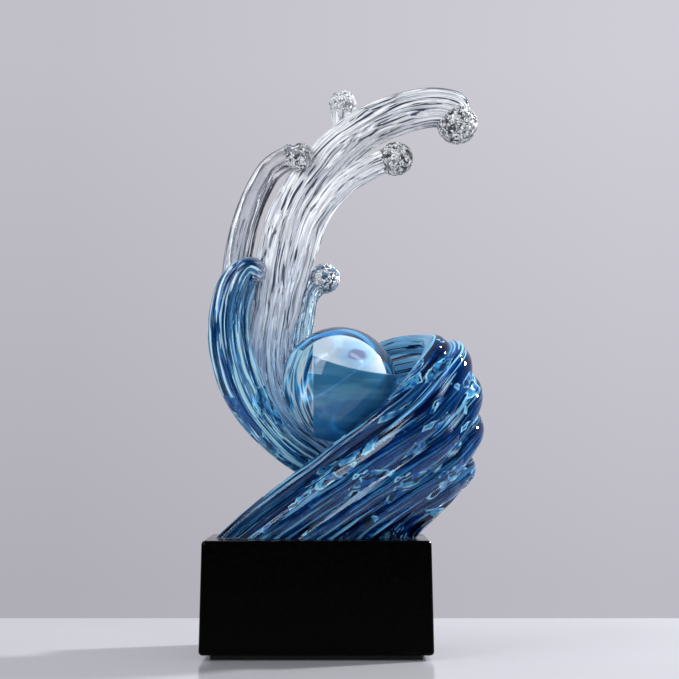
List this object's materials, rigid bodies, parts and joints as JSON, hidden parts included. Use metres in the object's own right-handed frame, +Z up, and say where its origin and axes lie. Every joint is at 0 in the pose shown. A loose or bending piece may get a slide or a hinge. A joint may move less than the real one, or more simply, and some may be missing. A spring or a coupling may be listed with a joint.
{
  "type": "resin wave sculpture",
  "caption": "Free-standing ornament: a fluted blue and clear resin wave curls up round a clear ball, on a glossy black rectangular plinth.",
  "frame": {"origin": "centre of the underside of the base pad, the face it rests on", "axes": "+Z up along the height, +X to the viewer's right along the plinth's long side, +Y to the back"},
  "size_m": [0.1921, 0.1065, 0.3924],
  "materials": {
    "foam_rubber": "matte",
    "black_lacquer": "gloss",
    "zinc_steel": "satin",
    "brass": "satin",
    "deep_blue_resin": "polished",
    "light_blue_resin": "polished",
    "clear_resin": "polished",
    "clear_ball": "polished"
  },
  "bodies": {
    "root": {"base_pad": "foam_rubber", "plinth": "black_lacquer", "screw_left": "zinc_steel", "screw_right": "zinc_steel", "washer_left": "zinc_steel", "washer_right": "zinc_steel", "threaded_insert_left": "brass", "threaded_insert_right": "brass", "swirl": "deep_blue_resin", "crest": "clear_resin", "curl": "light_blue_resin", "rear_plume": "clear_resin", "droplet_plume": "clear_resin", "spray_plume": "light_blue_resin", "top_droplet": "clear_resin", "ball": "clear_ball"}
  },
  "joints": []
}
